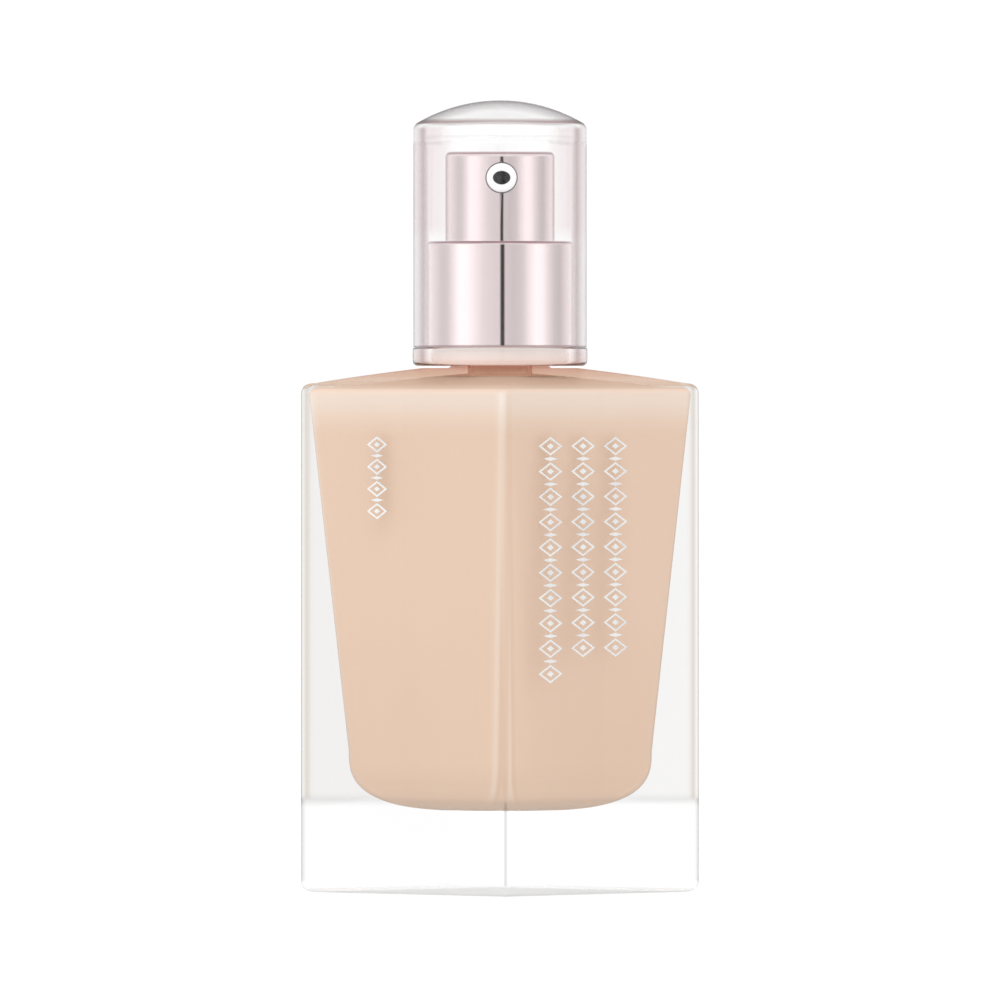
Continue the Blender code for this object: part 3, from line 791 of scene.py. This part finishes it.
def moulded_plastic(name, dark, light, roughness, glow=0.0):
    """Moulded plastic with faint flow marks, a fine satin grain and a painted glow at the
    neck.

    glow is the strength of a warm painted glow that it gives off at the neck, between the
    shoulder and the collar, standing in for light scattered by the liquid.
    """
    shader = Shader(name)
    # Painted glow: warm emission at the neck, standing in for light scattered by the liquid.
    shader.set(Emission_Color=(0.85, 0.50, 0.38, 1.0))
    at_neck = shader.arithmetic(
        "MULTIPLY",
        shader.height(CAVITY_TOP_Z, CAVITY_TOP_Z + 2.0),
        shader.height(RING_LOW.z + 1.4, RING_LOW.z + 0.4),
    )
    flow = shader.noise(150.0, 3.0, (1.0, 1.0, 0.3))
    grain = shader.noise(2500.0, 2.0)
    shader.drive(
        Base_Color=shader.ramp(flow, [(0.3, dark), (0.7, light)]),
        Roughness=shader.spread(grain, roughness - 0.06, roughness + 0.06),
        Emission_Strength=shader.arithmetic("MULTIPLY", at_neck, glow),
    )
    shader.bump(grain, 0.10, 0.02)
    return shader.material


def spring_steel():
    """Bright drawn steel."""
    shader = Shader("spring_steel")
    shader.set(Metallic=1.0)
    drawn = shader.noise(1800.0, 3.0, (1.0, 1.0, 0.2))
    shader.drive(
        Base_Color=shader.ramp(drawn, [(0.3, (0.62, 0.63, 0.64)), (0.7, (0.74, 0.75, 0.76))]),
        Roughness=shader.spread(drawn, 0.16, 0.30),
    )
    shader.bump(drawn, 0.08, 0.01)
    return shader.material


def silver_foil():
    """Hot-stamped foil: bright, slightly iridescent silver."""
    shader = Shader("silver_foil")
    shader.set(Metallic=0.6)
    sheen = shader.noise(160.0, 1.0)
    stops = [(0.35, (0.84, 0.86, 0.88)), (0.5, (0.95, 0.95, 0.93)), (0.65, (0.90, 0.87, 0.88))]
    grain = shader.noise(3000.0, 2.0)
    shader.drive(
        Base_Color=shader.ramp(sheen, stops),
        Roughness=shader.spread(grain, 0.22, 0.34),
    )
    shader.bump(grain, 0.06, 0.01)
    return shader.material


# --- pieces ------------------------------------------------------------------


def make_bottle(material):
    rings = fillet_rings(BOTTLE_HALF, EDGE_RADIUS, 0.0, BASE_FILLET, upward=False)
    rings += fillet_rings(
        BOTTLE_HALF, EDGE_RADIUS, SHOULDER_EDGE_Z, SHOULDER_FILLET, upward=True
    )
    rings += shoulder_rings()
    neck = rounded(
        [
            (SHOULDER_TOP_RADIUS, SHOULDER_TOP_Z),
            (NECK_RADIUS, SHOULDER_TOP_Z, 0.5),
            (NECK_RADIUS, NECK_TOP_Z, 0.5),
            (NECK_BORE, NECK_TOP_Z, 0.3),
            (NECK_BORE, CAVITY_TOP_Z + CEILING_RISE + 1.0),
        ],
        steps=5,
    )
    rings += [round_ring(radius, z) for radius, z in neck[1:]]
    rings += cavity_rings()[::-1]
    bm = bmesh.new()
    skin(bm, rings)
    piece = add_piece("bottle_glass", bm, material)
    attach(piece, "bottle")
    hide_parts("glass_bottle")


def make_neck_thread(material):
    """Right-handed rib that rises from the neck and tapers into it at both ends."""
    steps = 120
    taper = 0.13
    root = NECK_RADIUS - 0.1
    rings = []
    for step in range(steps + 1):
        turns = THREAD_TURNS * step / steps
        level = THREAD_Z + THREAD_PITCH * turns
        angle = math.tau * turns
        ease = min(1.0, turns / taper, (THREAD_TURNS - turns) / taper)
        swell = max(math.sin(math.pi / 2 * ease), 0.03)
        crest = NECK_RADIUS + (THREAD_CREST - NECK_RADIUS) * swell
        fillet = 0.1 * ease + 0.005
        outward = Vector((math.cos(angle), math.sin(angle), 0.0))
        section = rounded(
            [
                (root, level + 0.58),
                (root, level - 0.58),
                (crest, level - 0.32, fillet),
                (crest, level + 0.32, fillet),
            ],
            steps=3,
        )
        rings.append([outward * radius + Vector((0.0, 0.0, z)) for radius, z in section])
    bm = bmesh.new()
    skin(bm, rings)
    piece = add_piece("neck_thread_rib", bm, material)
    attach(piece, "bottle")


def make_liquid():
    """Foundation up to its level in the shoulder, round the pump and its tube."""
    rings = cavity_rings(inset=-WETTING, level_share=LIQUID_LEVEL_SHARE)
    level = max(point.z for point in rings[-1])
    housing, socket, tube = 4.3, 3.0, 1.8
    housing_foot, chamber_top, socket_foot, tube_foot = 51.6, 49.9, 44.2, 12.3
    channel = [
        (housing, level),
        (housing, housing_foot),
        (socket, chamber_top),
        (socket, socket_foot),
        (tube, socket_foot),
        (tube, tube_foot),
    ]
    rings += [round_ring(radius, z) for radius, z in channel]
    bm = bmesh.new()
    skin(bm, rings)
    piece = add_piece("liquid_foundation", bm, cream())
    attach(piece, "bottle")
    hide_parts("foundation_liquid")


def make_overcap():
    foot = RING_HIGH.z + 0.05
    dome_rise = CAP_HIGH.z - CAP_EDGE_Z
    dome_radius = (CAP_RADIUS**2 + dome_rise**2) / (2 * dome_rise)
    dome_steps = 23
    outline = []
    for step in range(dome_steps + 1):
        radius = (CAP_RADIUS - CAP_CHAMFER) * step / dome_steps
        drop = dome_radius - math.sqrt(dome_radius**2 - radius**2)
        outline.append((radius, CAP_HIGH.z - drop))
    outline += rounded(
        [
            (CAP_RADIUS, CAP_EDGE_Z - CAP_CHAMFER),
            (CAP_RADIUS, foot, 0.15),
            (CAP_BORE, foot, 0.15),
            (CAP_BORE, CAP_CEILING_Z, 1.0),
            (0.0, CAP_CEILING_Z),
        ]
    )
    joint_line = [(0.3, (0.50, 0.36, 0.39)), (1.0, WHITE)]
    material = tinted_clear("tinted_overcap", RING_HIGH.z, RING_HIGH.z + 0.4, joint_line)
    piece = turned("clear_overcap", outline, material)
    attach(piece, "cap")
    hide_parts("overcap")


def make_base_ring():
    outline = rounded(
        [
            (SLEEVE_BORE, RING_HIGH.z),
            (RING_RADIUS, RING_HIGH.z, 0.25),
            (RING_RADIUS, RING_LOW.z, 0.7),
            (SLEEVE_BORE, RING_LOW.z),
        ]
    )
    # Painted: the ring's foot takes the warm colour of the liquid below it.
    warm = [(0.0, (0.80, 0.50, 0.42)), (0.35, (0.95, 0.83, 0.79)), (1.0, (0.98, 0.95, 0.95))]
    material = tinted_clear("tinted_ring", RING_LOW.z, RING_HIGH.z, warm)
    piece = turned("clear_base_ring", outline, material)
    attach(piece, "collar")
    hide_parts("base_ring")


def make_sleeve():
    lip_foot = SLEEVE_HIGH.z - 0.6
    outline = rounded(
        [
            (SLEEVE_LIP, SLEEVE_HIGH.z, 0.2),
            (SLEEVE_RADIUS, SLEEVE_HIGH.z, 0.5),
            (SLEEVE_RADIUS, SLEEVE_LOW.z),
            (SLEEVE_BORE, SLEEVE_LOW.z),
            (SLEEVE_BORE, lip_foot),
            (SLEEVE_LIP, lip_foot),
        ]
    )
    edges = [(0.76, WHITE), (1.0, (0.50, 0.40, 0.42))]
    material = pink_metal("pink_metal_collar", 1.0, SLEEVE_RADIUS, SLEEVE_HIGH.z, edges)
    piece = turned("metal_collar_sleeve", outline, material)
    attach(piece, "collar")
    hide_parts("collar_sleeve")


def make_shell():
    wall = 0.4
    clearance = 0.12
    bore = SHELL_RADIUS - wall
    outline = rounded(
        [
            (0.0, SHELL_HIGH.z),
            (SHELL_RADIUS, SHELL_HIGH.z, 0.7),
            (SHELL_RADIUS, SHELL_LOW.z),
            (bore, SHELL_LOW.z),
            (bore, SHELL_HIGH.z - wall, 0.3),
            (0.0, SHELL_HIGH.z - wall),
        ]
    )
    edges = [(0.64, WHITE), (0.84, (0.50, 0.40, 0.42)), (1.0, (0.30, 0.22, 0.24))]
    # The actuator's metal is dimmed to 0.95 as painted shade, a darker copy of the collar's.
    material = pink_metal("pink_metal_actuator", 0.95, SHELL_RADIUS, SHELL_HIGH.z, edges)
    piece = turned("metal_actuator_shell", outline, material)
    cut_round_hole(piece, NOZZLE_RADIUS + clearance, start=4.0, end=9.0)
    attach(piece, "head")
    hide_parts("actuator_shell")


def nozzle_point(distance):
    """Point on the nozzle's axis, at a distance from the bottle's."""
    x = distance * math.cos(NOZZLE_AZIMUTH)
    y = distance * math.sin(NOZZLE_AZIMUTH)
    return Vector((x, y, NOZZLE_Z))


def cut_round_hole(piece, radius, start, end):
    """Cuts a hole along the nozzle's axis between two distances from the bottle's."""
    along = nozzle_point(end) - nozzle_point(start)
    turn = along.to_track_quat("Z", "Y").to_matrix().to_4x4()
    place = Matrix.Translation((nozzle_point(start) + along / 2) * MM) @ turn
    bm = bmesh.new()
    bmesh.ops.create_cone(
        bm,
        cap_ends=True,
        segments=64,
        radius1=radius * MM,
        radius2=radius * MM,
        depth=along.length * MM,
        matrix=place,
    )
    cutter = add_object("hole_cutter", mesh_from(bm, "hole_cutter"))
    hole = piece.modifiers.new("hole", "BOOLEAN")
    hole.operation = "DIFFERENCE"
    hole.solver = "EXACT"
    hole.object = cutter
    piece.modifiers.move(len(piece.modifiers) - 1, 0)
    bpy.context.view_layer.objects.active = piece
    bpy.ops.object.modifier_apply(modifier="hole")
    bpy.data.objects.remove(cutter, do_unlink=True)


def make_nozzle():
    """White eyelet with rounded rims round an oval mouth painted near black as painted shade.
    """
    across = Vector((-math.sin(NOZZLE_AZIMUTH), math.cos(NOZZLE_AZIMUTH), 0.0))
    upward = Vector((0.0, 0.0, 1.0))
    points = 72
    outer = NOZZLE_RADIUS
    outer_fillet = 0.4
    mouth_width = 1.12
    mouth_height = 0.9
    mouth_fillet = 0.12
    mouth_depth = 1.4
    orifice = 0.6
    quarter = [math.pi / 2 * step / 6 for step in range(7)]
    stations = [(NOZZLE_BACK, orifice, orifice), (NOZZLE_BACK, outer, outer)]
    for angle in quarter:
        radius = outer - outer_fillet * (1 - math.cos(angle))
        forward = NOZZLE_FRONT - outer_fillet * (1 - math.sin(angle))
        stations.append((forward, radius, radius))
    for angle in quarter:
        forward = NOZZLE_FRONT - mouth_fillet * (1 - math.cos(angle))
        spare = mouth_fillet * (1 - math.sin(angle))
        stations.append((forward, mouth_width + spare, mouth_height + spare))
    # The faces from here on line the mouth, which is painted near black as painted shade.
    first_painted_shade_face = (len(stations) - 1) * points
    stations.append((NOZZLE_FRONT - mouth_depth, orifice, orifice))
    rings = []
    for distance, width, height in stations:
        ring = []
        for step in range(points):
            angle = math.tau * step / points
            offset = across * (width * math.cos(angle)) + upward * (height * math.sin(angle))
            ring.append(nozzle_point(distance) + offset)
        rings.append(ring)
    bm = bmesh.new()
    skin(bm, rings, closed=True)
    for place, face in enumerate(bm.faces):
        face.material_index = 1 if place >= first_painted_shade_face else 0
    white = moulded_plastic("nozzle_white", grey(0.92), grey(0.96), 0.30)
    piece = add_piece("nozzle_eyelet", bm, white)
    piece.data.materials.append(painted_shade_mouth())
    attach(piece, "head")
    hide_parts("nozzle_insert")


def add_lozenge(bm, turn, centre, level, width, height, stroke=None):
    """Adds a thin flat lozenge to the face that turn carries -Y onto.

    centre and level are its place along and up the face. With a stroke it is an open
    frame.
    """
    corners = [(width / 2, 0.0), (0.0, height / 2), (-width / 2, 0.0), (0.0, -height / 2)]
    outlines = [(1.0, FOIL_BACK), (1.0, FOIL_FACE)]
    if stroke is not None:
        share = 1.0 - 2.0 * stroke * math.hypot(width, height) / (width * height)
        outlines += [(share, FOIL_FACE), (share, FOIL_BACK)]
    rings = []
    for share, out in outlines:
        rings.append(
            [
                turn @ Vector((centre + x * share, -BOTTLE_HALF - out, level + y * share))
                for x, y in corners
            ]
        )
    skin(bm, rings, closed=stroke is not None)


def make_foil(name, columns, turn):
    """Hot-stamped ornament on the face that turn carries -Y onto.

    Each column is a string of open lozenges, each with a solid one inside it and with
    a low wide one between it and the next.
    """
    bm = bmesh.new()
    for centre, width, top, bottom in columns:
        count = round((top - bottom) / FOIL_PITCH)
        pitch = (top - bottom) / count
        for step in range(count):
            level = top - pitch * (step + 0.5)
            add_lozenge(bm, turn, centre, level, width, pitch * 0.74, FOIL_STROKE)
            add_lozenge(bm, turn, centre, level, width * 0.30, pitch * 0.24)
            if step < count - 1:
                add_lozenge(bm, turn, centre, level - pitch / 2, width * 0.62, pitch * 0.16)
    piece = add_piece(name, bm, silver_foil())
    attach(piece, "bottle")


def make_spring():
    """Round-wire spring that shortens as the actuator is pressed."""
    low, high = node_box("return_spring")
    wire = 0.225
    wire_points = 12
    coils = 7
    flat = 0.75
    per_coil = 48
    radius = high.x - wire
    foot = low.z + wire
    top = high.z - wire
    upward = Vector((0.0, 0.0, 1.0))
    end_rise = 2.5 * wire
    free_rise = (top - foot - 2 * flat * end_rise) / (coils - 2 * flat)
    rings = []
    for step in range(coils * per_coil + 1):
        coil = step / per_coil
        angle = math.tau * coil
        free = min(max(coil - flat, 0.0), coils - 2 * flat)
        closed = min(coil, flat) + max(coil - (coils - flat), 0.0)
        level = foot + closed * end_rise + free * free_rise
        outward = Vector((math.cos(angle), math.sin(angle), 0.0))
        ring = []
        for point in range(wire_points):
            turn = math.tau * point / wire_points
            out = radius + wire * math.cos(turn)
            ring.append(outward * out + upward * (level + wire * math.sin(turn)))
        rings.append(ring)
    bm = bmesh.new()
    skin(bm, rings)
    piece = add_piece("steel_spring", bm, spring_steel())
    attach(piece, "pump_body")
    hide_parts("return_spring")
    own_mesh(piece)


def finish_inner_nodes():
    """Gives the CAD pieces inside the pump their finishes."""
    # The milky plastic gives off a painted glow of 0.4 at the neck.
    milky = moulded_plastic("milky_plastic", (0.80, 0.80, 0.78), (0.86, 0.86, 0.84), 0.38, 0.4)
    white = moulded_plastic("white_plastic", (0.88, 0.88, 0.87), (0.92, 0.92, 0.91), 0.30)
    seal = moulded_plastic("seal_plastic", (0.74, 0.76, 0.74), (0.81, 0.83, 0.81), 0.55)
    steel = spring_steel()
    finishes = {
        "screw_closure": white,
        "locking_ring": white,
        "valve_plug": white,
        "ball_cage": white,
        "actuator_core": white,
        "pump_housing": milky,
        "stem": milky,
        "dip_tube": milky,
        "neck_gasket": seal,
        "stem_wiper": seal,
        "piston": seal,
        "inlet_ball": steel,
    }
    for node, material in finishes.items():
        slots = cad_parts[node].data.materials
        for place in range(len(slots)):
            slots[place] = material
        if not slots:
            slots.append(material)


# --- studio ------------------------------------------------------------------


# Brightness of the studio by compass direction, in degrees from the camera's
SOFTBOXES = [
    (-180, 0.30),
    (-172, 0.45),
    (-158, 0.95),
    (-130, 1.10),
    (-112, 0.92),
    (-97, 0.74),
    (-86, 0.78),
    (-74, 1.05),
    (-64, 1.34),
    (-50, 1.30),
    (-38, 1.10),
    (-26, 0.92),
    (-14, 0.85),
    (-0.5, 0.82),
    (1.6, 0.02),
    (6.0, 0.02),
    (7.6, 0.77),
    (20, 0.69),
    (34, 0.77),
    (45, 1.06),
    (56, 1.30),
    (67, 1.24),
    (77, 0.96),
    (90, 0.70),
    (101, 0.63),
    (115, 0.88),
    (136, 1.14),
    (158, 0.95),
    (172, 0.45),
    (180, 0.30),
]


def studio_color(tree, direction, level=1.0):
    """White, except to mirror rays, which see the softboxes and the gaps between.

    direction is a vector socket, and level is a share that fades the softboxes out. A
    ray that has gone through a clear wall, which is 1 to 3 surfaces, sees white too.
    """
    split = tree.nodes.new("ShaderNodeSeparateXYZ")
    tree.links.new(direction, split.inputs["Vector"])
    ahead = arithmetic(tree, "MULTIPLY", split.outputs["Y"], -1.0)
    bearing = arithmetic(tree, "ARCTAN2", split.outputs["X"], ahead)
    bearing = arithmetic(tree, "SUBTRACT", bearing, math.radians(CAMERA_AZIMUTH))
    turns = arithmetic(tree, "MULTIPLY", bearing, 1 / math.tau)
    share = arithmetic(tree, "FRACT", arithmetic(tree, "ADD", turns, 0.5))
    stops = [(degrees / 360 + 0.5, grey(value)) for degrees, value in SOFTBOXES]
    softboxes = color_ramp(tree, share, stops)
    path = tree.nodes.new("ShaderNodeLightPath")
    mirrors = arithmetic(tree, "MINIMUM", path.outputs["Glossy Depth"], 1.0)
    walls = arithmetic(tree, "COMPARE", path.outputs["Transmission Depth"], 2.0, 1.5)
    shown = arithmetic(tree, "SUBTRACT", mirrors, walls, clamp=True)
    mix = tree.nodes.new("ShaderNodeMix")
    mix.data_type = "RGBA"
    mix.inputs[6].default_value = (*WHITE, 1.0)
    tree.links.new(arithmetic(tree, "MULTIPLY", shown, level), mix.inputs[0])
    tree.links.new(softboxes, mix.inputs[7])
    return mix.outputs[2]


def make_floor():
    """White ground that reaches far past the bottle on all sides."""
    bm = bmesh.new()
    bmesh.ops.create_grid(bm, x_segments=1, y_segments=1, size=30000.0 * MM)
    material = bpy.data.materials.new("pale_floor")
    material.use_nodes = True
    tree = material.node_tree
    surface = tree.nodes["Principled BSDF"]
    surface.inputs["Base Color"].default_value = (*grey(0.12), 1.0)
    surface.inputs["Roughness"].default_value = 1.0
    surface.inputs["Specular IOR Level"].default_value = 0.0
    surface.inputs["Emission Strength"].default_value = 0.91
    place = tree.nodes.new("ShaderNodeTexCoord")
    seen = studio_color(tree, place.outputs["Object"])
    tree.links.new(seen, surface.inputs["Emission Color"])
    floor = add_object("floor", mesh_from(bm, "floor"))
    floor.data.materials.append(material)
    floor.location.z = -0.05 * MM


def make_world():
    """Evenly white studio with softboxes near the horizon for mirror rays."""
    world = bpy.data.worlds.new("studio")
    bpy.context.scene.world = world
    world.use_nodes = True
    tree = world.node_tree
    tree.nodes.clear()
    place = tree.nodes.new("ShaderNodeTexCoord")
    split = tree.nodes.new("ShaderNodeSeparateXYZ")
    tree.links.new(place.outputs["Generated"], split.inputs["Vector"])
    steepness = arithmetic(tree, "ABSOLUTE", split.outputs["Z"])
    level = share_between(tree, steepness, 0.24, 0.10)
    background = tree.nodes.new("ShaderNodeBackground")
    seen = studio_color(tree, place.outputs["Generated"], level)
    tree.links.new(seen, background.inputs["Color"])
    background.inputs["Strength"].default_value = 1.02
    output = tree.nodes.new("ShaderNodeOutputWorld")
    tree.links.new(background.outputs["Background"], output.inputs["Surface"])


def aim(item, height):
    """Turns a lamp or a camera towards a point on the bottle's axis."""
    target = Vector((0.0, 0.0, height * MM))
    item.rotation_euler = (target - item.location).to_track_quat("-Z", "Y").to_euler()


def make_key_light():
    """Large soft light above and in front of the bottle."""
    data = bpy.data.lights.new("key", "AREA")
    data.shape = "RECTANGLE"
    data.size = 600.0 * MM
    data.size_y = 400.0 * MM
    data.energy = 1.2
    key = add_object("key", data)
    key.location = Vector((160.0, -520.0, 750.0)) * MM
    aim(key, 50.0)
    key.visible_camera = False
    key.visible_glossy = False
    key.visible_transmission = False


def make_camera():
    """Far camera with a long lens, a little above the middle of the bottle."""
    azimuth = math.radians(CAMERA_AZIMUTH)
    data = bpy.data.cameras.new("camera")
    data.lens = LENS
    data.sensor_width = SENSOR
    data.clip_start = 200.0 * MM
    data.clip_end = 100000.0 * MM
    camera = add_object("camera", data)
    camera.location = (
        CAMERA_DISTANCE * MM * math.sin(azimuth),
        -CAMERA_DISTANCE * MM * math.cos(azimuth),
        CAMERA_HEIGHT * MM,
    )
    aim(camera, AIM_HEIGHT)
    bpy.context.scene.camera = camera


bpy.context.scene.view_settings.view_transform = "Standard"
make_camera()
make_world()
make_key_light()
make_floor()
glass = bottle_glass()
make_bottle(glass)
make_neck_thread(glass)
make_liquid()
make_overcap()
make_base_ring()
make_sleeve()
make_shell()
make_nozzle()
make_spring()
make_foil("foil_front", FOIL_FRONT, Matrix.Identity(3))
make_foil("foil_side", FOIL_SIDE, Matrix.Rotation(math.pi / 2, 3, "Z"))
finish_inner_nodes()
